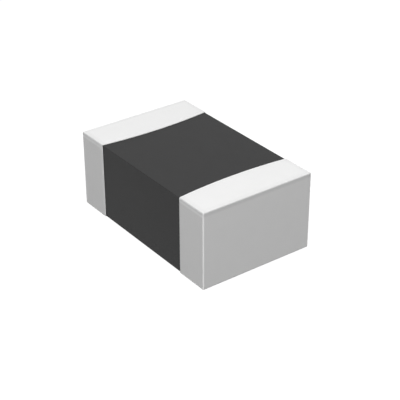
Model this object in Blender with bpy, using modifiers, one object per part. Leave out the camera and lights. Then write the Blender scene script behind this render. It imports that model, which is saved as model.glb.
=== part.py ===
"""Chip PTC thermistor for surface mounting: a dark ceramic block with a metal terminal on each end.

The block is semiconducting barium titanate. Each terminal is three metal layers, one over the
other: a fired silver contact, a nickel barrier and a matte tin finish. Each layer wraps over the
rim of the layer beneath it and ends on the bare ceramic.

Units are metres. X runs along the chip from the left terminal to the right one, Y across it
and Z up. The origin is the centre of the footprint, on the board.
"""

import math
from typing import NamedTuple

import bmesh
import bpy

# Finished chip, over the terminals
CHIP_LENGTH = 0.00200
CHIP_WIDTH = 0.00125
CHIP_HEIGHT = 0.000807

# Ceramic block: its edges and corners are tumbled slightly round before it is coated
CERAMIC_EDGE_RADIUS = 0.000004
EDGE_SEGMENTS = 2

# Terminal bands: the rim is straight up the sides and bows inwards over the top and underside
BAND_WIDTH_AT_SIDES = 0.000361
BAND_BOW = 0.000040
BOW_SEGMENTS = 14

# The three layers of a terminal. The dipped silver is thicker on the end face than round the band
SILVER_END_THICKNESS = 0.000012
SILVER_BAND_THICKNESS = 0.000003
NICKEL_THICKNESS = 0.000002
TIN_THICKNESS = 0.000003

# The tin feathers out at its rim, whose edges are the only ones sharper than this angle
RIM_BEVEL = 0.0000025
RIM_ANGLE = math.radians(60)

# Clearance between one layer and the next, how far a cutter runs past what it cuts, and a weld
SEAT_GAP = 0.0000003
CUTTER_OVERRUN = 0.0002
WELD_DISTANCE = 0.00000003

# Base colour, roughness and metallic value of each material
CERAMIC_FINISH = ((0.040, 0.040, 0.041, 1.0), 0.55, 0.0)
SILVER_FINISH = ((0.82, 0.80, 0.76, 1.0), 0.45, 1.0)
NICKEL_FINISH = ((0.62, 0.60, 0.56, 1.0), 0.35, 1.0)
TIN_FINISH = ((0.86, 0.86, 0.85, 1.0), 0.45, 1.0)

SIDES = {"left": -1, "right": 1}


class Cover(NamedTuple):
    """A layer's outside, as its distance from the ceramic's ends and sides and from the silver's rim."""

    end: float
    band: float
    rim: float

    def grown(self, thickness):
        """The outside after a coat of this thickness, which adds as much in every direction."""
        return Cover(self.end + thickness, self.band + thickness, self.rim + thickness)


BARE_CERAMIC = Cover(0.0, 0.0, 0.0)
SILVER = Cover(SILVER_END_THICKNESS, SILVER_BAND_THICKNESS, 0.0)
NICKEL = SILVER.grown(NICKEL_THICKNESS)
TIN = NICKEL.grown(TIN_THICKNESS)


def clear_scene():
    for obj in list(bpy.data.objects):
        bpy.data.objects.remove(obj, do_unlink=True)


def make_collection(name):
    collection = bpy.data.collections.new(name)
    bpy.context.scene.collection.children.link(collection)
    return collection


def make_material(name, finish):
    colour, roughness, metallic = finish
    material = bpy.data.materials.new(name)
    material.use_nodes = True
    shader = material.node_tree.nodes["Principled BSDF"]
    shader.inputs["Base Color"].default_value = colour
    shader.inputs["Roughness"].default_value = roughness
    shader.inputs["Metallic"].default_value = metallic
    material.diffuse_color = colour
    return material


def hide_cutter(cutter):
    cutter.hide_render = True
    cutter.display_type = "WIRE"


def rounded_block(name, cover, collection):
    """The ceramic block's own shape, grown to the outside of the given cover."""
    half_sizes = (
        CHIP_LENGTH / 2 - TIN.end + cover.end,
        CHIP_WIDTH / 2 - TIN.band + cover.band,
        CHIP_HEIGHT / 2 - TIN.band + cover.band,
    )
    bm = bmesh.new()
    bmesh.ops.create_cube(bm, size=2.0)
    bmesh.ops.scale(bm, vec=half_sizes, verts=bm.verts)
    mesh = bpy.data.meshes.new(name)
    bm.to_mesh(mesh)
    bm.free()
    block = bpy.data.objects.new(name, mesh)
    block.location.z = CHIP_HEIGHT / 2
    collection.objects.link(block)
    rounding = block.modifiers.new("rounded edges", "BEVEL")
    rounding.width = CERAMIC_EDGE_RADIUS + cover.band
    rounding.segments = EDGE_SEGMENTS
    return block


def rim_distance(y, cover):
    """How far from the chip's middle the cover's rim lies at this Y."""
    across = y / (CHIP_WIDTH / 2)
    tin_band_width = BAND_WIDTH_AT_SIDES + BAND_BOW * (1 - across**2)
    return CHIP_LENGTH / 2 - tin_band_width + TIN.rim - cover.rim


def rim_outline(cover):
    """Everything beyond the cover's rim, seen from above: a field whose inner edge is bowed."""
    far_x = CHIP_LENGTH / 2 + CUTTER_OVERRUN
    far_y = CHIP_WIDTH / 2 + CUTTER_OVERRUN
    edge_y = [CHIP_WIDTH / 2 * (1 - 2 * i / BOW_SEGMENTS) for i in range(BOW_SEGMENTS + 1)]
    bowed_edge = [(rim_distance(y, cover), y) for y in edge_y]
    start_x, end_x = bowed_edge[0][0], bowed_edge[-1][0]
    return [(far_x, -far_y), (far_x, far_y), (start_x, far_y), *bowed_edge, (end_x, -far_y)]


def rim_prism(name, side, cover, cutters):
    """The rim's outline extruded up through the whole chip."""
    curve = bpy.data.curves.new(name, "CURVE")
    curve.dimensions = "2D"
    curve.fill_mode = "BOTH"
    curve.extrude = CHIP_HEIGHT / 2 + CUTTER_OVERRUN
    outline = rim_outline(cover)
    spline = curve.splines.new("POLY")
    spline.points.add(len(outline) - 1)
    for point, (x, y) in zip(spline.points, outline):
        point.co = (side * x, y, 0.0, 1.0)
    spline.use_cyclic_u = True
    drawing = bpy.data.objects.new(name, curve)
    drawing.location.z = CHIP_HEIGHT / 2
    cutters.objects.link(drawing)
    prism = as_mesh_object(drawing, cutters)
    hide_cutter(prism)
    return prism


def as_mesh_object(drawing, collection):
    """A closed mesh object that takes the place of a curve object, so that it can cut."""
    graph = bpy.context.evaluated_depsgraph_get()
    mesh = bpy.data.meshes.new_from_object(drawing.evaluated_get(graph))
    bm = bmesh.new()
    bm.from_mesh(mesh)
    bmesh.ops.remove_doubles(bm, verts=bm.verts, dist=WELD_DISTANCE)
    bmesh.ops.recalc_face_normals(bm, faces=bm.faces)
    bm.to_mesh(mesh)
    bm.free()
    name = drawing.name
    place = drawing.matrix_world.copy()
    bpy.data.objects.remove(drawing)
    solid = bpy.data.objects.new(name, mesh)
    solid.matrix_world = place
    collection.objects.link(solid)
    return solid


def combine(obj, operation, other):
    boolean = obj.modifiers.new(f"{operation.lower()} {other.name}", "BOOLEAN")
    boolean.operation = operation
    boolean.solver = "EXACT"
    boolean.object = other


def coated_end(name, side, cover, collection, cutters):
    """One end of the chip out to this cover, solid right through, as far in as the cover's rim."""
    end = rounded_block(name, cover, collection)
    combine(end, "INTERSECT", rim_prism(f"{name}_reach", side, cover, cutters))
    return end


def make_layer(name, side, cover, beneath, collection, cutters):
    """A shell that lies on the ceramic and over the layer beneath it, where there is one."""
    shell = coated_end(name, side, cover, collection, cutters)
    if cover is TIN:
        feathering = shell.modifiers.new("feathered rim", "BEVEL")
        feathering.limit_method = "ANGLE"
        feathering.angle_limit = RIM_ANGLE
        feathering.width = RIM_BEVEL
    core = rounded_block(f"{name}_core", BARE_CERAMIC.grown(SEAT_GAP), cutters)
    hide_cutter(core)
    combine(shell, "DIFFERENCE", core)
    if beneath is not BARE_CERAMIC:
        hollow = coated_end(f"{name}_hollow", side, beneath.grown(SEAT_GAP), cutters, cutters)
        hide_cutter(hollow)
        combine(shell, "DIFFERENCE", hollow)
    return shell


def make_terminals(collection, cutters):
    """The three shells of each terminal, from the ceramic outwards."""
    layers = (
        ("silver_contact", SILVER, BARE_CERAMIC, make_material("fired silver", SILVER_FINISH)),
        ("nickel_barrier", NICKEL, SILVER, make_material("plated nickel", NICKEL_FINISH)),
        ("tin_terminal", TIN, NICKEL, make_material("matte tin", TIN_FINISH)),
    )
    for word, side in SIDES.items():
        for layer, cover, beneath, material in layers:
            shell = make_layer(f"{layer}_{word}", side, cover, beneath, collection, cutters)
            shell.data.materials.append(material)


def main():
    clear_scene()
    chip = make_collection("chip_ptc_thermistor")
    cutters = make_collection("cutters")
    ceramic = rounded_block("ceramic_body", BARE_CERAMIC, chip)
    ceramic.data.materials.append(make_material("dark ceramic", CERAMIC_FINISH))
    make_terminals(chip, cutters)


main()
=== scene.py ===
"""The looks of a chip PTC thermistor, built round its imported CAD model.

The dark ceramic block and the two tin caps are remade here with smooth, even curves. The silver and
nickel that the tin covers stay the CAD's own meshes and get their finishes.

Units are metres, in the CAD's own frame: X along the chip, Y across it and Z up from the board.
"""

import logging
import math
from dataclasses import dataclass, field
from enum import Enum
from typing import Mapping, NamedTuple

import bmesh
import bpy
from mathutils import Matrix, Vector


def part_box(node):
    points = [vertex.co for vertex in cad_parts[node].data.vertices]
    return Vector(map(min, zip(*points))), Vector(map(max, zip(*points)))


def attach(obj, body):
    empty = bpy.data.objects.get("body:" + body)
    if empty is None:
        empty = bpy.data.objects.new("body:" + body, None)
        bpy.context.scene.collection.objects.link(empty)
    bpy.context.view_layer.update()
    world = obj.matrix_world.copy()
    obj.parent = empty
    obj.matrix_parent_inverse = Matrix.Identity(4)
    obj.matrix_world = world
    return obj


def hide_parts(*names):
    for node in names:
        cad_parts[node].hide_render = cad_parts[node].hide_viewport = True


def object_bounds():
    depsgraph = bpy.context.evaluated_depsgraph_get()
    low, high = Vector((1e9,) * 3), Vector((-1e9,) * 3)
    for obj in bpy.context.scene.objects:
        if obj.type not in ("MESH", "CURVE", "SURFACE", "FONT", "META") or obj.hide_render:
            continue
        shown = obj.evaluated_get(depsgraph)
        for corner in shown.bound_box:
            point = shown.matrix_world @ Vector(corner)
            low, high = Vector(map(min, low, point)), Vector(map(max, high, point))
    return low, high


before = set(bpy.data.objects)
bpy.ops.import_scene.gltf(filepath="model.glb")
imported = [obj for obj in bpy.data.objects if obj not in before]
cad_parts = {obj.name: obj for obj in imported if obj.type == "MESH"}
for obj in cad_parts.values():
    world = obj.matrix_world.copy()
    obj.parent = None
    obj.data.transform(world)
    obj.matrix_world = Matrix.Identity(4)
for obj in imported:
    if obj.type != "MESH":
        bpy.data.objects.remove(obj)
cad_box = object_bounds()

log = logging.getLogger("chip_thermistor")

BODY = "root"

MICROMETRE = 0.000001
QUARTER_TURN = math.pi / 2
EIGHTH_TURN = math.pi / 4

# How far the chip reaches along each axis, from the CAD's box
HALF_LENGTH, HALF_WIDTH, TOP = cad_box[1]

# What each point keeps of how far it lies into a rounded edge, for the finishes to read
EDGE_ATTRIBUTE = "edge"
LEVEL_EDGE_ATTRIBUTE = "level_edge"

# How far the outward direction at the middle of a rounded edge goes along either axis
EDGE_MIDDLE = math.sin(EIGHTH_TURN)

# The grid box runs from -1 to 1 on each axis
GRID_SIZE = (2.0, 2.0, 2.0)

# Vectors with the same number on each axis
ZEROS = (0.0, 0.0, 0.0)
ONES = (1.0, 1.0, 1.0)
MINUS_ONES = (-1.0, -1.0, -1.0)

# Narrow flat cells before each rounded edge, on one side and on both
LEAD_CELLS = 1.0
LEAD_CELLS_BOTH_SIDES = (2.0, 2.0, 2.0)

# The rings of points at which the cap's foot on the ceramic ends and its thin inside starts
FOOT_RING = 1.0
INSIDE_RING = 2.0

# The outward X under which a face of the grid box is the back one, which a cap lacks
BACK_FACING = -0.5

# A bend sharper than this stays a crease, and points closer than this are one
CREASE_ANGLE = math.radians(40)
WELD_DISTANCE = 0.02 * MICROMETRE

# Where nearly all values of a noise lie, and how finely the noises are broken up
NOISE_RANGE = (0.3, 0.7)
FINE_DETAIL = 3.0
CLOUD_DETAIL = 2.0

# The noise values at which an edge's tumbling wear and painted highlight are least and most, and the
# least share of them that is kept
PATCH_RANGE = (0.35, 0.65)
LEAST_RUBBED_AND_HIGHLIT = 0.75

# A pit's flat floor and its rim, as distances from its middle in cells
PIT_FLOOR = 0.12
PIT_RIM = 0.3

# How squarely a surface faces along an axis where it starts to be a flat face, and where it is one
FLAT_FACE_RANGE = (0.7, 0.95)

Colour = tuple[float, float, float]
Socket = bpy.types.NodeSocket
Feed = Socket | float | int | str | tuple[float, ...]
Feeds = Mapping[int | str, Feed]


class Side(Enum):
    """The two ends of the chip, each with the direction in which it faces along X."""

    LEFT = -1
    RIGHT = 1

    @property
    def word(self) -> str:
        """The end's name as the CAD nodes have it."""
        return self.name.lower()


class Slot(Enum):
    """The record's material slots."""

    CERAMIC = "ceramic"
    SILVER = "fired_silver"
    NICKEL = "plated_nickel"
    TIN = "matte_tin"


class Wiring:
    """Puts nodes into a node tree and joins them, one call for each node."""

    def __init__(self, tree: bpy.types.NodeTree) -> None:
        """Takes the tree that gets the nodes."""
        self.tree = tree

    def add(self, kind: str, feeds: Feeds | None = None, **settings: object) -> bpy.types.Node:
        """Adds one node.

        Args:
            kind: The node's type.
            feeds: What each input gets, by its name or place: another node's output or a value.
            settings: The node's own properties.

        Returns:
            The new node.
        """
        node = self.tree.nodes.new(kind)
        for name, value in settings.items():
            setattr(node, name, value)
        for place, value in (feeds or {}).items():
            self.feed(node.inputs[place], value)
        return node

    def feed(self, socket: Socket, value: Feed) -> None:
        """Joins an output to an input, or sets the input's value.

        Args:
            socket: The input.
            value: Another node's output, or a plain value.
        """
        if isinstance(value, bpy.types.NodeSocket):
            self.tree.links.new(value, socket)
        else:
            socket.default_value = value

    def math(self, operation: str, first: Feed, second: Feed = 0.0) -> Socket:
        """The result of a Math node on one or two numbers."""
        return self.add("ShaderNodeMath", {0: first, 1: second}, operation=operation).outputs[0]

    def vector(self, operation: str, first: Feed, second: Feed = ZEROS) -> Socket:
        """The vector that a Vector Math node makes of one or two vectors."""
        feeds = {0: first, 1: second}
        return self.add("ShaderNodeVectorMath", feeds, operation=operation).outputs[0]

    def spread(self, value: Feed, start: Feed, end: Feed, low: Feed, high: Feed) -> Socket:
        """A number brought from the range start to end into the range low to high, and held inside."""
        feeds = {0: value, 1: start, 2: end, 3: low, 4: high}
        return self.add("ShaderNodeMapRange", feeds).outputs["Result"]

    def spread_each(self, value: Feed, start: Feed, end: Feed, low: Feed, high: Feed) -> Socket:
        """The same as spread for each part of a vector."""
        feeds = {6: value, 7: start, 8: end, 9: low, 10: high}
        return self.add("ShaderNodeMapRange", feeds, data_type="FLOAT_VECTOR").outputs["Vector"]

    def swing(self, share: Feed, reach: float) -> Socket:
        """A share from 0 to 1 turned into a swing about nothing, of this reach either way."""
        return self.spread(share, 0.0, 1.0, -reach, reach)

    def plus_share(self, value: Feed, share: Feed, amount: float) -> Socket:
        """A number with a share of this amount added to it."""
        return self.math("ADD", value, self.math("MULTIPLY", share, amount))

    def effect(self, group: bpy.types.NodeTree, feeds: Feeds) -> bpy.types.NodeOutputs:
        """The outputs of a shared effect, placed here and fed by the names of its inputs."""
        return self.add("ShaderNodeGroup", feeds, node_tree=group).outputs

    def parts(self, vector: Feed) -> tuple[Socket, Socket, Socket]:
        """A vector's X, Y and Z."""
        split = self.add("ShaderNodeSeparateXYZ", {0: vector})
        return split.outputs[0], split.outputs[1], split.outputs[2]

    def joined(self, x: Feed = 0.0, y: Feed = 0.0, z: Feed = 0.0) -> Socket:
        """A vector of three numbers."""
        return self.add("ShaderNodeCombineXYZ", {0: x, 1: y, 2: z}).outputs[0]


@dataclass(frozen=True)
class EdgeRounding:
    """The cells of each face that bend into an edge, and the length of the flat cell before them."""

    cells: int = 6
    lead: float = 3 * MICROMETRE


class ShapeTree:
    """A Geometry Nodes tree for one kind of solid, with a named input for each of its sizes."""

    def __init__(self, name: str, inputs: Mapping[str, str]) -> None:
        """Starts the tree.

        Args:
            name: The tree's name.
            inputs: The socket type of each named input.
        """
        self.tree = bpy.data.node_groups.new(name, "GeometryNodeTree")
        self.wiring = Wiring(self.tree)
        self.identifiers: dict[str, str] = {}
        for label, kind in inputs.items():
            socket = self.tree.interface.new_socket(label, in_out="INPUT", socket_type=kind)
            self.identifiers[label] = socket.identifier
        self.tree.interface.new_socket("Solid", in_out="OUTPUT", socket_type="NodeSocketGeometry")
        self.given = self.wiring.add("NodeGroupInput").outputs

    def grid_box(self, cells: tuple[Feed, Feed, Feed]) -> Socket:
        """A hollow box from -1 to 1 on each axis, whose faces are divided into cells.

        Args:
            cells: The cells along each axis.

        Returns:
            The box.
        """
        w = self.wiring
        points = {place: w.math("ADD", count, 1.0) for place, count in enumerate(cells, start=1)}
        return w.add("GeometryNodeMeshCube", {0: GRID_SIZE, **points}).outputs["Mesh"]

    def cells_in_edges(self) -> Socket:
        """The cells along an axis that lie in the edges at its two ends and in the leads to them."""
        w = self.wiring
        return w.math("MULTIPLY", w.math("ADD", self.given["Edge Cells"], LEAD_CELLS), 2.0)

    def laid_out(self, grid: Feed, cells: Feed, face_cells: Feed, core: Feed, radius: Feed) -> Socket:
        """Where an even grid's points go so that some cells lie in the edges and the rest on the flats.

        Args:
            grid: A point on the grid box.
            cells: All the cells along each axis.
            face_cells: The cells along each axis that lie on the flat of a face.
            core: Half the flat's length along each axis.
            radius: The radius of the edges.

        Returns:
            The point on a sharp-edged box.
        """
        w = self.wiring
        lead = self.given["Lead"]
        reach = w.vector("ABSOLUTE", grid)
        flat_share = w.vector("DIVIDE", face_cells, cells)
        lead_share = w.vector("DIVIDE", w.vector("ADD", face_cells, LEAD_CELLS_BOTH_SIDES), cells)
        flat = w.spread_each(reach, ZEROS, flat_share, ZEROS, w.vector("SUBTRACT", core, lead))
        led = w.spread_each(reach, flat_share, lead_share, ZEROS, lead)
        turned = w.spread_each(reach, lead_share, ONES, ZEROS, (EIGHTH_TURN,) * 3)
        bent = w.vector("MULTIPLY", w.vector("TANGENT", turned), radius)
        distance = w.vector("ADD", w.vector("ADD", flat, led), bent)
        return w.vector("MULTIPLY", w.vector("SIGN", grid), distance)

    def over_core(self, sharp: Socket, core: Socket) -> tuple[Socket, Socket]:
        """Finds what a point of a sharp-edged box stands over.

        Args:
            sharp: The point.
            core: Half the size, along each axis, of the core that the rounded block is grown from.

        Returns:
            The core's nearest point, and the direction from there to the point.
        """
        w = self.wiring
        far_core = w.vector("MULTIPLY", core, MINUS_ONES)
        anchor = w.vector("MAXIMUM", w.vector("MINIMUM", sharp, core), far_core)
        return anchor, w.vector("NORMALIZE", w.vector("SUBTRACT", sharp, anchor))

    def grown(self, anchor: Socket, outward: Socket, height: Feed) -> Socket:
        """The point at this height over the core."""
        return self.wiring.vector("ADD", anchor, self.wiring.vector("MULTIPLY", outward, height))

    def edge_share(self, outward: Feed) -> Socket:
        """How far a point lies into any rounded edge.

        Args:
            outward: The outward direction at the point.

        Returns:
            0 on a flat, and 1 at the middle of an edge.
        """
        w = self.wiring
        x, y, z = w.parts(w.vector("ABSOLUTE", outward))
        steepest = w.math("MAXIMUM", w.math("MAXIMUM", x, y), z)
        return w.spread(steepest, 1.0, EDGE_MIDDLE, 0.0, 1.0)

    def upright_share(self, outward: Feed) -> Socket:
        """How far a point lies into an upright edge.

        Args:
            outward: The outward direction at the point.

        Returns:
            0 on a flat and along a level edge, and 1 at the middle of an upright one.
        """
        w = self.wiring
        x, y, _ = w.parts(w.vector("ABSOLUTE", outward))
        return w.spread(w.math("MINIMUM", x, y), 0.0, EDGE_MIDDLE, 0.0, 1.0)

    def level_share(self, outward: Feed) -> Socket:
        """How far a point lies into a level edge.

        Args:
            outward: The outward direction at the point.

        Returns:
            0 on a flat and up an upright edge, and 1 at the middle of a level one.
        """
        w = self.wiring
        x, y, z = w.parts(w.vector("ABSOLUTE", outward))
        return w.spread(w.math("MINIMUM", w.math("MAXIMUM", x, y), z), 0.0, EDGE_MIDDLE, 0.0, 1.0)

    def marked(self, geometry: Feed, name: str, value: Feed) -> Socket:
        """The geometry with a number kept on each of its points.

        Args:
            geometry: The geometry.
            name: The name that the number is kept under.
            value: The number.

        Returns:
            The same geometry, marked.
        """
        feeds = {0: geometry, "Name": name, "Value": value}
        kind = "GeometryNodeStoreNamedAttribute"
        return self.wiring.add(kind, feeds, data_type="FLOAT", domain="POINT").outputs[0]

    def placed(self, geometry: Feed, place: Feed) -> Socket:
        """The geometry with each of its points moved to its place."""
        feeds = {0: geometry, "Position": place}
        return self.wiring.add("GeometryNodeSetPosition", feeds).outputs[0]

    def finish(self, geometry: Socket) -> None:
        """Ends the tree: smooth faces, sharp corners kept, one real mesh and its finish.

        Args:
            geometry: The finished shape.
        """
        w = self.wiring
        smooth = w.add("GeometryNodeSetShadeSmooth", {0: geometry, 2: True}, domain="FACE").outputs[0]
        bend = w.add("GeometryNodeInputMeshEdgeAngle").outputs["Unsigned Angle"]
        corner = {0: smooth, 1: w.math("GREATER_THAN", bend, CREASE_ANGLE), 2: False}
        creased = w.add("GeometryNodeSetShadeSmooth", corner, domain="EDGE").outputs[0]
        real = w.add("GeometryNodeRealizeInstances", {0: creased}).outputs[0]
        feeds = {0: real, "Material": self.given["Finish"]}
        finished = w.add("GeometryNodeSetMaterial", feeds).outputs[0]
        w.add("NodeGroupOutput", {0: finished})

    def solid(self, name: str, values: Mapping[str, object]) -> bpy.types.Object:
        """Makes one piece with this tree.

        Args:
            name: The piece's name.
            values: The value of each named input.

        Returns:
            The piece, a plain mesh whose object sits at the origin.
        """
        piece = bpy.data.objects.new(name, bpy.data.meshes.new(f"{name}_start"))
        bpy.context.scene.collection.objects.link(piece)
        modifier = piece.modifiers.new("shape", "NODES")
        modifier.node_group = self.tree
        for label, value in values.items():
            modifier[self.identifiers[label]] = value
        graph = bpy.context.evaluated_depsgraph_get()
        mesh = bpy.data.meshes.new_from_object(piece.evaluated_get(graph))
        mesh.name = name
        piece.modifiers.remove(modifier)
        piece.data = mesh
        return piece


class BlockTree(ShapeTree):
    """A solid block whose edges and corners are rounded."""

    def __init__(self) -> None:
        """Builds the tree."""
        super().__init__(
            "rounded_block",
            {
                "Half Size": "NodeSocketVector",
                "Centre Height": "NodeSocketFloat",
                "Edge Radius": "NodeSocketFloat",
                "Face Cells": "NodeSocketVector",
                "Edge Cells": "NodeSocketInt",
                "Lead": "NodeSocketFloat",
                "Finish": "NodeSocketMaterial",
            },
        )
        w, given = self.wiring, self.given
        radius = given["Edge Radius"]
        cells = w.vector("ADD", given["Face Cells"], self.cells_in_edges())
        core = w.vector("SUBTRACT", given["Half Size"], radius)
        grid = w.add("GeometryNodeInputPosition").outputs[0]
        sharp = self.laid_out(grid, cells, given["Face Cells"], core, radius)
        anchor, outward = self.over_core(sharp, core)
        skin = self.grown(anchor, outward, radius)
        raised = w.vector("ADD", skin, w.joined(z=given["Centre Height"]))
        box = self.marked(self.grid_box(w.parts(cells)), EDGE_ATTRIBUTE, self.edge_share(outward))
        self.finish(self.placed(box, raised))


class Rings(NamedTuple):
    """A cap's rings of points, counted from its rim: the last one of each stretch along it."""

    lip: Socket
    band: Socket
    lead: Socket
    edge: Socket


class CapTree(ShapeTree):
    """A terminal's metal skin: a five-sided cap with round edges, a bowed rim and a stepped inside."""

    LENGTHS = (
        "Half Width",
        "Half Height",
        "Rim Distance",
        "End Distance",
        "Edge Radius",
        "Bow",
        "Lip Radius",
        "Skin",
        "Rim Skin",
        "Rim Step",
        "Lead",
    )
    COUNTS = ("Band Cells", "Lip Cells", "Edge Cells", "Cells Across", "Cells Up")

    def __init__(self) -> None:
        """Builds the tree."""
        super().__init__(
            "terminal_cap",
            {
                **dict.fromkeys(self.LENGTHS, "NodeSocketFloat"),
                **dict.fromkeys(self.COUNTS, "NodeSocketInt"),
                "Facing": "NodeSocketFloat",
                "Finish": "NodeSocketMaterial",
            },
        )
        w, given = self.wiring, self.given
        rings = self.count_rings()
        face_cells = w.joined(1.0, given["Cells Across"], given["Cells Up"])
        cells = w.vector("ADD", face_cells, self.cells_in_edges())
        _, cells_across, cells_up = w.parts(cells)
        open_box = self.without_back(self.grid_box((rings.edge, cells_across, cells_up)))

        grid = w.add("GeometryNodeInputPosition").outputs[0]
        grid_x, _, _ = w.parts(grid)
        ring = w.math("MULTIPLY", w.spread(grid_x, -1.0, 1.0, 0.0, 1.0), rings.edge)
        radius = given["Edge Radius"]
        core_end = w.math("SUBTRACT", given["End Distance"], radius)
        half_sizes = w.joined(1.0, given["Half Width"], given["Half Height"])
        core_sides = w.vector("SUBTRACT", half_sizes, radius)
        _, core_y, core_z = w.parts(core_sides)
        _, y, z = w.parts(self.laid_out(grid, cells, face_cells, core_sides, radius))
        flat_end = w.math("SUBTRACT", core_end, given["Lead"])
        lip_run, lip_drop = self.lip(ring, rings)
        sharp = w.joined(self.distance_out(ring, rings, lip_run, flat_end), y, z)
        anchor, outward = self.over_core(sharp, w.joined(core_end, core_y, core_z))

        bowed = self.bow_shift(self.grown(anchor, outward, radius), flat_end)
        outside = self.wall(anchor, outward, lip_drop, bowed)
        inner_shift, depth = self.hollow(ring, rings, lip_run)
        inside = self.wall(anchor, outward, depth, w.math("ADD", bowed, inner_shift))
        # The upright-edge share places the tin's painted highlight, and the level-edge share places its
        # painted shade.
        marked = self.marked(open_box, EDGE_ATTRIBUTE, self.upright_share(outward))
        marked = self.marked(marked, LEVEL_EDGE_ATTRIBUTE, self.level_share(outward))
        self.finish(self.shell(marked, outside, inside))

    def count_rings(self) -> Rings:
        """Counts the rings from the rim to the middle of the end's rounded edge.

        Returns:
            The last ring of each stretch.
        """
        w, given = self.wiring, self.given
        band = w.math("ADD", given["Lip Cells"], given["Band Cells"])
        lead = w.math("ADD", band, LEAD_CELLS)
        return Rings(given["Lip Cells"], band, lead, w.math("ADD", lead, given["Edge Cells"]))

    def without_back(self, box: Socket) -> Socket:
        """The grid box without the face that looks towards the chip's middle.

        Args:
            box: The whole grid box.

        Returns:
            The five-sided box.
        """
        w = self.wiring
        facing_x, _, _ = w.parts(w.add("GeometryNodeInputNormal").outputs["Normal"])
        feeds = {0: box, 1: w.math("LESS_THAN", facing_x, BACK_FACING)}
        return w.add("GeometryNodeDeleteGeometry", feeds, domain="FACE").outputs[0]

    def lip(self, ring: Socket, rings: Rings) -> tuple[Socket, Socket]:
        """The rounded outer edge of the rim.

        Args:
            ring: The ring that a point lies on.
            rings: The last ring of each stretch.

        Returns:
            How far the point lies from the rim, and how far beneath the cap's outermost surface.
        """
        w = self.wiring
        radius = self.given["Lip Radius"]
        turn = w.spread(ring, 0.0, rings.lip, 0.0, QUARTER_TURN)
        run = w.math("MULTIPLY", radius, w.math("SUBTRACT", 1.0, w.math("COSINE", turn)))
        drop = w.math("MULTIPLY", radius, w.math("SUBTRACT", 1.0, w.math("SINE", turn)))
        return run, drop

    def distance_out(self, ring: Socket, rings: Rings, lip_run: Socket, flat_end: Socket) -> Socket:
        """How far from the chip's middle a ring lies, before the edges are rounded.

        Args:
            ring: The ring.
            rings: The last ring of each stretch.
            lip_run: How far the ring lies from the rim, as far as the lip goes.
            flat_end: The distance from the chip's middle at which the flat of the band ends.

        Returns:
            The distance.
        """
        w, given = self.wiring, self.given
        flat_start = w.math("ADD", given["Rim Distance"], given["Lip Radius"])
        band_length = w.math("SUBTRACT", flat_end, flat_start)
        band_run = w.spread(ring, rings.lip, rings.band, 0.0, band_length)
        lead_run = w.spread(ring, rings.band, rings.lead, 0.0, given["Lead"])
        edge_turn = w.spread(ring, rings.lead, rings.edge, 0.0, EIGHTH_TURN)
        edge_run = w.math("MULTIPLY", w.math("TANGENT", edge_turn), given["Edge Radius"])
        run = w.math("ADD", w.math("ADD", lip_run, band_run), w.math("ADD", lead_run, edge_run))
        return w.math("ADD", given["Rim Distance"], run)

    def bow_shift(self, skin: Socket, flat_end: Socket) -> Socket:
        """How far the rim's bow moves a point towards the end: most at the sides of the rim.

        Args:
            skin: The point, on the cap's outermost surface.
            flat_end: The distance from the chip's middle at which the bow has died out.

        Returns:
            The shift.
        """
        w, given = self.wiring, self.given
        x, y, _ = w.parts(skin)
        across = w.math("DIVIDE", y, given["Half Width"])
        at_rim = w.math("MULTIPLY", given["Bow"], w.math("MULTIPLY", across, across))
        return w.math("MULTIPLY", at_rim, w.spread(x, given["Rim Distance"], flat_end, 1.0, 0.0))

    def hollow(self, ring: Socket, rings: Rings, lip_run: Socket) -> tuple[Socket, Socket]:
        """The stepped inside: a foot on the ceramic at the rim, and a thin skin over the nickel.

        Args:
            ring: The ring that a point lies on.
            rings: The last ring of each stretch.
            lip_run: How far the lip has moved the ring from the rim.

        Returns:
            How far the inside's point lies nearer to the end than the outside's, and its depth.
        """
        w, given = self.wiring, self.given
        foot_run = w.spread(ring, 0.0, FOOT_RING, 0.0, given["Rim Step"])
        rest_length = w.math("SUBTRACT", given["Lip Radius"], given["Rim Step"])
        rest_run = w.spread(ring, INSIDE_RING, rings.lip, 0.0, rest_length)
        shift = w.math("SUBTRACT", w.math("ADD", foot_run, rest_run), lip_run)
        depth = w.spread(ring, FOOT_RING, INSIDE_RING, given["Rim Skin"], given["Skin"])
        return shift, depth

    def wall(self, anchor: Socket, outward: Socket, depth: Socket, shift: Socket) -> Socket:
        """Where the points of one of the cap's two walls lie, in the chip's frame.

        Args:
            anchor: The points of the block's core that the wall's points stand over.
            outward: The direction from the core to the wall.
            depth: How far the wall lies beneath the cap's outermost surface.
            shift: How far the wall's points move towards the end.

        Returns:
            The place of each point.
        """
        w, given = self.wiring, self.given
        height = w.math("SUBTRACT", given["Edge Radius"], depth)
        moved = w.vector("ADD", self.grown(anchor, outward, height), w.joined(shift))
        faced = w.vector("MULTIPLY", moved, w.joined(given["Facing"], given["Facing"], 1.0))
        return w.vector("ADD", faced, w.joined(z=given["Half Height"]))

    def shell(self, surface: Socket, outside: Socket, inside: Socket) -> Socket:
        """Makes a closed shell of an open surface.

        Args:
            surface: The open surface, facing outwards.
            outside: The place of each point on the shell's outer wall.
            inside: The place of each point on its inner wall.

        Returns:
            The two walls, joined along the rim.
        """
        w = self.wiring
        feeds = {0: surface, "Offset Scale": 0.0, "Individual": False}
        doubled = w.add("GeometryNodeExtrudeMesh", feeds, mode="FACES").outputs
        choice = {0: doubled["Top"], 1: inside, 2: outside}
        either = w.add("GeometryNodeSwitch", choice, input_type="VECTOR").outputs[0]
        turned = w.add("GeometryNodeFlipFaces", {0: surface}).outputs[0]
        both = w.add("GeometryNodeJoinGeometry")
        w.feed(both.inputs[0], self.placed(doubled["Mesh"], either))
        w.feed(both.inputs[0], self.placed(turned, inside))
        weld = {0: both.outputs[0], "Distance": WELD_DISTANCE}
        return w.add("GeometryNodeMergeByDistance", weld).outputs[0]


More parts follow.
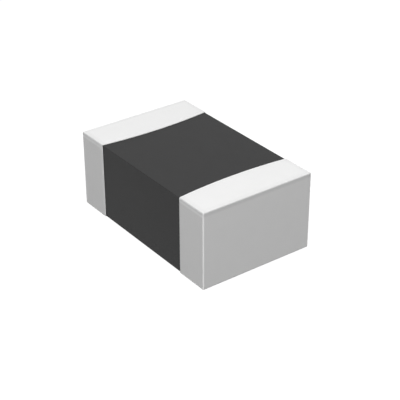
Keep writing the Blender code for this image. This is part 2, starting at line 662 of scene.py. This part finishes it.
class PatternGroups:
    """The effects that more than one finish uses, each a shader node group built once."""

    def __init__(self) -> None:
        """Builds the groups."""
        self.grain = self.make_grain()
        self.rubbing = self.make_rubbing()
        self.pits = self.make_pits()

    @staticmethod
    def start(
        name: str, inputs: tuple[str, ...], outputs: tuple[str, ...]
    ) -> tuple[Wiring, bpy.types.NodeOutputs]:
        """Makes an empty group.

        Args:
            name: The group's name.
            inputs: Its number inputs, which follow the vector input.
            outputs: Its number outputs.

        Returns:
            The group's wiring and the sockets that give what it is fed.
        """
        tree = bpy.data.node_groups.new(name, "ShaderNodeTree")
        tree.interface.new_socket("Vector", in_out="INPUT", socket_type="NodeSocketVector")
        for label in inputs:
            tree.interface.new_socket(label, in_out="INPUT", socket_type="NodeSocketFloat")
        for label in outputs:
            tree.interface.new_socket(label, in_out="OUTPUT", socket_type="NodeSocketFloat")
        wiring = Wiring(tree)
        return wiring, wiring.add("NodeGroupInput").outputs

    @staticmethod
    def noise(w: Wiring, place: Socket, size: Socket, detail: float) -> Socket:
        """Noise at this place, whose blotches are about this size."""
        feeds = {"Vector": place, "Scale": w.math("DIVIDE", 1.0, size), "Detail": detail}
        return w.add("ShaderNodeTexNoise", feeds).outputs["Fac"]

    def make_grain(self) -> bpy.types.NodeTree:
        """Builds fine grain, and clouds of tone over many grains. Both run from 0 to 1.

        Returns:
            The group.
        """
        w, given = self.start("grain", ("Grain Size", "Cloud Size"), ("Grain", "Clouds"))
        grain = self.noise(w, given["Vector"], given["Grain Size"], FINE_DETAIL)
        clouds = self.noise(w, given["Vector"], given["Cloud Size"], CLOUD_DETAIL)
        feeds = {
            "Grain": w.spread(grain, *NOISE_RANGE, 0.0, 1.0),
            "Clouds": w.spread(clouds, *NOISE_RANGE, 0.0, 1.0),
        }
        w.add("NodeGroupOutput", feeds)
        return w.tree

    def make_rubbing(self) -> bpy.types.NodeTree:
        """Builds the wear of edges by tumbling, which on the tin's upright edges is a painted
        highlight: strongest on the edge and broken up along it.

        Returns:
            The group.
        """
        w, given = self.start("rubbed_and_highlit_edge", ("Edge", "Patch Size"), ("Rubbed And Highlit",))
        patches = self.noise(w, given["Vector"], given["Patch Size"], FINE_DETAIL)
        patch = w.spread(patches, *PATCH_RANGE, LEAST_RUBBED_AND_HIGHLIT, 1.0)
        w.add("NodeGroupOutput", {"Rubbed And Highlit": w.math("MULTIPLY", given["Edge"], patch)})
        return w.tree

    def make_pits(self) -> bpy.types.NodeTree:
        """Builds small round pits, one in each of a share of the cells. 1 is the floor of a pit.

        Returns:
            The group.
        """
        w, given = self.start("pits", ("Cell Size", "Share"), ("Pit",))
        feeds = {"Vector": given["Vector"], "Scale": w.math("DIVIDE", 1.0, given["Cell Size"])}
        cells = w.add("ShaderNodeTexVoronoi", feeds).outputs
        dip = w.spread(cells["Distance"], PIT_FLOOR, PIT_RIM, 1.0, 0.0)
        lot, _, _ = w.parts(cells["Color"])
        drawn = w.math("LESS_THAN", lot, given["Share"])
        w.add("NodeGroupOutput", {"Pit": w.math("MULTIPLY", dip, drawn)})
        return w.tree


@dataclass
class Surface:
    """A finish in the making: what its effects are built with, and its values so far."""

    wiring: Wiring
    groups: PatternGroups
    place: Socket
    tone: Socket
    roughness: Socket
    metallic: Feed
    height: Socket


@dataclass(frozen=True)
class Rubbing:
    """What tumbling does to edges: how much paler, smoother and more metallic it leaves them. On the
    tin's upright edges the paler tone is a painted highlight.
    """

    tone: float
    smoothing: float = 0.0
    bared: float = 0.0
    patch_size: float = 60 * MICROMETRE

    def lay_on(self, surface: Surface) -> None:
        """Wears the edges of a surface, and on the tin paints a highlight along the upright edges.

        Args:
            surface: The surface.
        """
        w = surface.wiring
        edge = w.add("ShaderNodeAttribute", attribute_name=EDGE_ATTRIBUTE).outputs["Fac"]
        feeds = {"Vector": surface.place, "Edge": edge, "Patch Size": self.patch_size}
        rubbed_and_highlit = w.effect(surface.groups.rubbing, feeds)["Rubbed And Highlit"]
        # The paler tone is tumbling wear on the ceramic's edges and a painted highlight on the tin's
        # upright edges.
        surface.tone = w.plus_share(surface.tone, rubbed_and_highlit, self.tone)
        if self.smoothing:
            surface.roughness = w.plus_share(surface.roughness, rubbed_and_highlit, -self.smoothing)
        if self.bared:
            surface.metallic = w.plus_share(surface.metallic, rubbed_and_highlit, self.bared)


@dataclass(frozen=True)
class Pits:
    """Small pits, darkened inside with painted shade: the cells they lie in, the share of the cells
    that has one, their tone and depth.
    """

    cell_size: float
    share: float
    tone: float
    depth: float

    def lay_on(self, surface: Surface) -> None:
        """Pits a surface and paints shade into each pit.

        Args:
            surface: The surface.
        """
        w = surface.wiring
        feeds = {"Vector": surface.place, "Cell Size": self.cell_size, "Share": self.share}
        pit = w.effect(surface.groups.pits, feeds)["Pit"]
        # The darker tone in each pit is painted shade.
        surface.tone = w.plus_share(surface.tone, pit, -self.tone)
        surface.height = w.plus_share(surface.height, pit, -self.depth)


@dataclass(frozen=True)
class PaintedEdgeBand:
    """A faint band of painted light on the flat of a face, a little way in from its edge: painted shade
    where its tone is below nothing, and painted highlight where it is above.
    """

    tone: float
    start: float
    full: float
    fading: float
    end: float

    def at(self, w: Wiring, distance: Socket) -> Socket:
        """The tone that the band adds at this distance from the edge."""
        rise = w.spread(distance, self.start, self.full, 0.0, self.tone)
        return w.math("MULTIPLY", rise, w.spread(distance, self.fading, self.end, 1.0, 0.0))


@dataclass(frozen=True)
class PaintedTerminalShading:
    """How the tin's tone varies round the edges of its top, and under them on the sides and end:
    painted shade along the level edges, and bands of painted shade and highlight beside them.
    """

    level_edge_shade: float
    top: PaintedEdgeBand
    side: PaintedEdgeBand
    end: PaintedEdgeBand

    def lay_on(self, surface: Surface) -> None:
        """Paints shade along the level edges of a surface and lays the painted bands beside them.

        Args:
            surface: The surface.
        """
        w = surface.wiring
        x, y, z = w.parts(w.vector("ABSOLUTE", surface.place))
        under_top = w.math("SUBTRACT", TOP, z)
        from_end = w.math("SUBTRACT", HALF_LENGTH, x)
        from_side = w.math("SUBTRACT", HALF_WIDTH, y)
        inside_top = w.math("MINIMUM", from_end, from_side)
        normal = w.add("ShaderNodeNewGeometry").outputs["Normal"]
        facing_end, facing_side, facing_up = w.parts(w.vector("ABSOLUTE", normal))
        level_edge = w.add("ShaderNodeAttribute", attribute_name=LEVEL_EDGE_ATTRIBUTE).outputs["Fac"]
        # Painted shade along the level edges.
        tone = w.math("MULTIPLY", level_edge, -self.level_edge_shade)
        # Each face gets its own band, picked by the way it faces: painted shade where the tone is below
        # nothing, and painted highlight where it is above.
        faces = (
            (self.end, facing_end, under_top),
            (self.side, facing_side, under_top),
            (self.top, facing_up, inside_top),
        )
        for band, facing, distance in faces:
            on_face = w.spread(facing, *FLAT_FACE_RANGE, 0.0, 1.0)
            tone = w.math("ADD", tone, w.math("MULTIPLY", on_face, band.at(w, distance)))
        surface.tone = w.math("ADD", surface.tone, tone)


@dataclass(frozen=True)
class Finish:
    """A surface finish: its colour and gloss, the grain in them, and the effects laid over those, with
    painted highlight and shade among them.

    Tones are shares of the colour, sizes are in metres, and reliefs and depths in micrometres.
    """

    name: str
    colour: Colour
    metallic: float
    roughness: float
    specular: float
    grain_size: float
    cloud_size: float
    grain_tone: float
    cloud_tone: float
    grain_relief: float
    roughness_swing: float = 0.05
    effects: tuple[Rubbing | Pits | PaintedTerminalShading, ...] = ()

    def make(self, groups: PatternGroups) -> bpy.types.Material:
        """Builds the material.

        Args:
            groups: The shared effects.

        Returns:
            The material.
        """
        material = bpy.data.materials.new(self.name)
        material.use_nodes = True
        material.diffuse_color = (*self.colour, 1.0)
        w = Wiring(material.node_tree)
        surface = self.grained(w, groups)
        for effect in self.effects:
            effect.lay_on(surface)
        level = w.math("ADD", surface.tone, 1.0)
        bump = w.add("ShaderNodeBump", {"Distance": MICROMETRE, "Height": surface.height})
        shader = material.node_tree.nodes["Principled BSDF"]
        w.feed(shader.inputs["Base Color"], w.vector("MULTIPLY", self.colour, level))
        w.feed(shader.inputs["Roughness"], surface.roughness)
        w.feed(shader.inputs["Metallic"], surface.metallic)
        w.feed(shader.inputs["Normal"], bump.outputs["Normal"])
        shader.inputs["Specular IOR Level"].default_value = self.specular
        return material

    def grained(self, w: Wiring, groups: PatternGroups) -> Surface:
        """The bare surface, with its grain and clouds alone.

        Args:
            w: The material's wiring.
            groups: The shared effects.

        Returns:
            The surface, before any other effect.
        """
        place = w.add("ShaderNodeTexCoord").outputs["Object"]
        feeds = {"Vector": place, "Grain Size": self.grain_size, "Cloud Size": self.cloud_size}
        outputs = w.effect(groups.grain, feeds)
        grain, clouds = outputs["Grain"], outputs["Clouds"]
        return Surface(
            wiring=w,
            groups=groups,
            place=place,
            tone=w.math("ADD", w.swing(grain, self.grain_tone), w.swing(clouds, self.cloud_tone)),
            roughness=w.math("ADD", w.swing(grain, self.roughness_swing), self.roughness),
            metallic=self.metallic,
            height=w.math("MULTIPLY", grain, self.grain_relief),
        )


MATTE_TIN = Finish(
    name="matte_tin",
    colour=(0.87, 0.87, 0.868),
    metallic=0.10,
    roughness=0.55,
    specular=0.2,
    grain_size=9 * MICROMETRE,
    cloud_size=140 * MICROMETRE,
    grain_tone=0.012,
    cloud_tone=0.006,
    grain_relief=0.25,
    effects=(
        # The tin's paler upright edges are a painted highlight.
        Rubbing(tone=0.12, smoothing=0.08, bared=0.25),
        # Painted shade along the top's level edges and in bands on the top and end, and a painted
        # highlight in a band on the sides.
        PaintedTerminalShading(
            level_edge_shade=0.17,
            top=PaintedEdgeBand(
                tone=-0.035,
                start=8 * MICROMETRE,
                full=20 * MICROMETRE,
                fading=30 * MICROMETRE,
                end=60 * MICROMETRE,
            ),
            side=PaintedEdgeBand(
                tone=0.12,
                start=16 * MICROMETRE,
                full=34 * MICROMETRE,
                fading=38 * MICROMETRE,
                end=58 * MICROMETRE,
            ),
            end=PaintedEdgeBand(
                tone=-0.12,
                start=0.0,
                full=6 * MICROMETRE,
                fading=22 * MICROMETRE,
                end=50 * MICROMETRE,
            ),
        ),
    ),
)
DARK_CERAMIC = Finish(
    name="dark_ceramic",
    colour=(0.0243, 0.0243, 0.0245),
    metallic=0.0,
    roughness=0.6,
    specular=0.252,
    grain_size=7 * MICROMETRE,
    cloud_size=160 * MICROMETRE,
    grain_tone=0.10,
    cloud_tone=0.04,
    grain_relief=0.5,
    effects=(
        Rubbing(tone=0.25),
        Pits(cell_size=26 * MICROMETRE, share=0.12, tone=0.35, depth=1.0),
    ),
)
FIRED_SILVER = Finish(
    name="fired_silver",
    colour=(0.82, 0.80, 0.76),
    metallic=1.0,
    roughness=0.45,
    specular=0.5,
    grain_size=4 * MICROMETRE,
    cloud_size=60 * MICROMETRE,
    grain_tone=0.05,
    cloud_tone=0.03,
    grain_relief=0.6,
    effects=(Pits(cell_size=12 * MICROMETRE, share=0.3, tone=0.2, depth=0.8),),
)
PLATED_NICKEL = Finish(
    name="plated_nickel",
    colour=(0.62, 0.60, 0.56),
    metallic=1.0,
    roughness=0.35,
    specular=0.5,
    grain_size=3 * MICROMETRE,
    cloud_size=90 * MICROMETRE,
    grain_tone=0.03,
    cloud_tone=0.02,
    grain_relief=0.2,
)


def ride(piece: bpy.types.Object, node: str) -> None:
    """Puts a piece in the place of a CAD node, on the chip's one body.

    Args:
        piece: The finished piece.
        node: The CAD node that it stands for.
    """
    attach(piece, BODY)
    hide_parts(node)
    log.info("%s stands for %s: %d faces", piece.name, node, len(piece.data.polygons))


@dataclass
class CeramicBlock:
    """The pressed and fired block of dark ceramic, with its tumbled edges."""

    node: str = "ceramic_body"
    edge_radius: float = 4 * MICROMETRE
    face_cells: tuple[int, int, int] = (20, 12, 8)
    rounding: EdgeRounding = field(default_factory=EdgeRounding)

    def build(self, tree: BlockTree, finish: bpy.types.Material) -> bpy.types.Object:
        """Makes the block in the box of its CAD node.

        Args:
            tree: The shape of a rounded block.
            finish: The ceramic's material.

        Returns:
            The piece.
        """
        low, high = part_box(self.node)
        centre = (low + high) / 2
        values = {
            "Half Size": (high - low) / 2,
            "Centre Height": centre.z,
            "Edge Radius": self.edge_radius,
            "Face Cells": self.face_cells,
            "Edge Cells": self.rounding.cells,
            "Lead": self.rounding.lead,
            "Finish": finish,
        }
        piece = tree.solid("ceramic_block", values)
        ride(piece, self.node)
        return piece


@dataclass
class Terminal:
    """One end's metal: silver and nickel as the CAD has them, under a finely modelled tin cap."""

    side: Side
    edge_radius: float = 12 * MICROMETRE
    bow: float = 40 * MICROMETRE
    lip_radius: float = 5 * MICROMETRE
    skin: float = 2.7 * MICROMETRE
    rim_skin: float = 7.7 * MICROMETRE
    rim_step: float = 2.3 * MICROMETRE
    band_cells: int = 8
    lip_cells: int = 5
    cells_across: int = 36
    cells_up: int = 10
    rounding: EdgeRounding = field(default_factory=EdgeRounding)

    def build(self, tree: CapTree, tin: bpy.types.Material) -> bpy.types.Object:
        """Makes the tin cap in the box of its CAD node.

        Args:
            tree: The shape of a terminal cap.
            tin: The tin's material.

        Returns:
            The piece.
        """
        node = f"tin_terminal_{self.side.word}"
        low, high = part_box(node)
        near, far = sorted((abs(low.x), abs(high.x)))
        values = {
            "Half Width": high.y,
            "Half Height": high.z / 2,
            "Rim Distance": near,
            "End Distance": far,
            "Edge Radius": self.edge_radius,
            "Bow": self.bow,
            "Lip Radius": self.lip_radius,
            "Skin": self.skin,
            "Rim Skin": self.rim_skin,
            "Rim Step": self.rim_step,
            "Lead": self.rounding.lead,
            "Band Cells": self.band_cells,
            "Lip Cells": self.lip_cells,
            "Edge Cells": self.rounding.cells,
            "Cells Across": self.cells_across,
            "Cells Up": self.cells_up,
            "Facing": float(self.side.value),
            "Finish": tin,
        }
        piece = tree.solid(f"tin_cap_{self.side.word}", values)
        ride(piece, node)
        return piece

    def dress(self, silver: bpy.types.Material, nickel: bpy.types.Material) -> None:
        """Gives the CAD's silver and nickel their finishes.

        Args:
            silver: The fired silver's material.
            nickel: The plated nickel's material.
        """
        layers = (
            ("silver_contact", silver, Slot.SILVER),
            ("nickel_barrier", nickel, Slot.NICKEL),
        )
        for layer, material, slot in layers:
            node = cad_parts[f"{layer}_{self.side.word}"]
            node.data.materials.clear()
            node.data.materials.append(material)
            log.info("%s keeps its CAD mesh and gets %s", node.name, material.name)


@dataclass(frozen=True)
class Lamp:
    """A large round soft box. With a share of 1 it lights a face that it meets squarely to white."""

    name: str
    azimuth: float
    elevation: float
    width: float
    share: float
    distance: float

    def hang(self) -> None:
        """Puts the lamp into the scene, aimed at the chip. Its width is in degrees, seen from there."""
        half_width = math.radians(self.width / 2)
        light = bpy.data.lights.new(self.name, "AREA")
        light.shape = "DISK"
        light.size = 2 * self.distance * math.tan(half_width)
        light.energy = self.share * (math.pi * self.distance / math.cos(half_width)) ** 2
        lamp = bpy.data.objects.new(self.name, light)
        lamp.visible_camera = False
        lamp.visible_glossy = False
        towards = direction(self.azimuth, self.elevation)
        lamp.location = towards * self.distance
        lamp.rotation_mode = "QUATERNION"
        lamp.rotation_quaternion = towards.to_track_quat("Z", "Y")
        bpy.context.scene.collection.objects.link(lamp)


@dataclass(frozen=True)
class Viewpoint:
    """Where the photograph is taken from, in degrees and metres, with the lens in millimetres."""

    azimuth: float = -36.48
    elevation: float = 29.83
    roll: float = -0.146
    aim: tuple[float, float, float] = (0.0001013, 0.0000058, 0.0003163)
    distance: float = 0.01139
    lens: float = 105.44
    sensor: float = 36.0
    nearest: float = 0.0005
    farthest: float = 0.5

    def set_up(self) -> None:
        """Makes the camera."""
        data = bpy.data.cameras.new("photo_camera")
        data.lens = self.lens
        data.sensor_width = self.sensor
        data.clip_start, data.clip_end = self.nearest, self.farthest
        camera = bpy.data.objects.new("photo_camera", data)
        back = direction(self.azimuth, self.elevation)
        level = back.to_track_quat("Z", "Y")
        roll = Matrix.Rotation(math.radians(self.roll), 3, "Z").to_quaternion()
        camera.rotation_mode = "QUATERNION"
        camera.rotation_quaternion = level @ roll
        camera.location = Vector(self.aim) + back * self.distance
        bpy.context.scene.collection.objects.link(camera)
        bpy.context.scene.camera = camera


@dataclass(frozen=True)
class Studio:
    """A white floor and surroundings, and soft light: the most of it from above the camera."""

    lamps: tuple[Lamp, ...] = (
        Lamp("key", azimuth=-42.5, elevation=57.5, width=30.0, share=0.898, distance=0.03),
        Lamp("back_fill", azimuth=135.0, elevation=15.0, width=90.0, share=0.45, distance=0.05),
    )
    sky: float = 0.04
    floor_colour: float = 0.12
    floor_glow: float = 0.95
    floor_radius: float = 0.05
    floor_drop: float = 0.5 * MICROMETRE
    floor_sides: int = 96

    def build(self) -> None:
        """Makes the floor, the world and the lamps."""
        self.lay_floor()
        self.light_world()
        for lamp in self.lamps:
            lamp.hang()
        bpy.context.scene.view_settings.view_transform = "Standard"

    @staticmethod
    def seen(w: Wiring) -> Socket:
        """Tells what the camera sees, straight, mirrored or through glass, from light on things.

        Args:
            w: The wiring of a material or the world.

        Returns:
            1 for what the camera sees, and 0 for light that falls on things.
        """
        path = w.add("ShaderNodeLightPath").outputs
        mirrored = w.math("MAXIMUM", path["Is Glossy Ray"], path["Is Transmission Ray"])
        return w.math("MAXIMUM", path["Is Camera Ray"], mirrored)

    def lay_floor(self) -> None:
        """Lays the floor just under the chip."""
        bm = bmesh.new()
        bmesh.ops.create_circle(bm, cap_ends=True, segments=self.floor_sides, radius=self.floor_radius)
        bmesh.ops.translate(bm, verts=bm.verts, vec=(0.0, 0.0, -self.floor_drop))
        mesh = bpy.data.meshes.new("floor")
        bm.to_mesh(mesh)
        bm.free()
        mesh.materials.append(self.floor_finish())
        floor = bpy.data.objects.new("floor", mesh)
        bpy.context.scene.collection.objects.link(floor)

    def floor_finish(self) -> bpy.types.Material:
        """Builds a floor that shows white where the light reaches it, and keeps the chip's shadow.

        Returns:
            The material.
        """
        material = bpy.data.materials.new("white_floor")
        material.use_nodes = True
        material.node_tree.nodes.clear()
        w = Wiring(material.node_tree)
        grey = (self.floor_colour, self.floor_colour, self.floor_colour, 1.0)
        matte = w.add("ShaderNodeBsdfDiffuse", {"Color": grey}).outputs[0]
        strength = w.math("MULTIPLY", self.seen(w), self.floor_glow)
        glow = w.add("ShaderNodeEmission", {"Strength": strength}).outputs[0]
        both = w.add("ShaderNodeAddShader", {0: matte, 1: glow}).outputs[0]
        w.add("ShaderNodeOutputMaterial", {"Surface": both})
        return material

    def light_world(self) -> None:
        """Makes the surroundings: white to look at, with only a little light from them on things."""
        world = bpy.data.worlds.new("white_surroundings")
        world.use_nodes = True
        bpy.context.scene.world = world
        w = Wiring(world.node_tree)
        background = world.node_tree.nodes["Background"]
        background.inputs["Color"].default_value = (1.0, 1.0, 1.0, 1.0)
        w.feed(background.inputs["Strength"], w.spread(self.seen(w), 0.0, 1.0, self.sky, 1.0))


def direction(azimuth: float, elevation: float) -> Vector:
    """The unit vector at this azimuth, from +X towards +Y, and elevation over the floor, in degrees."""
    a, e = math.radians(azimuth), math.radians(elevation)
    return Vector((math.cos(a) * math.cos(e), math.sin(a) * math.cos(e), math.sin(e)))


def main() -> None:
    """Builds the chip and its studio."""
    logging.basicConfig(level=logging.INFO, format="%(name)s: %(message)s")
    groups = PatternGroups()
    tin, ceramic = MATTE_TIN.make(groups), DARK_CERAMIC.make(groups)
    silver, nickel = FIRED_SILVER.make(groups), PLATED_NICKEL.make(groups)
    CeramicBlock().build(BlockTree(), ceramic)
    cap_tree = CapTree()
    for side in Side:
        terminal = Terminal(side)
        terminal.build(cap_tree, tin)
        terminal.dress(silver, nickel)
    Studio().build()
    Viewpoint().set_up()


if __name__ == "__main__":
    main()
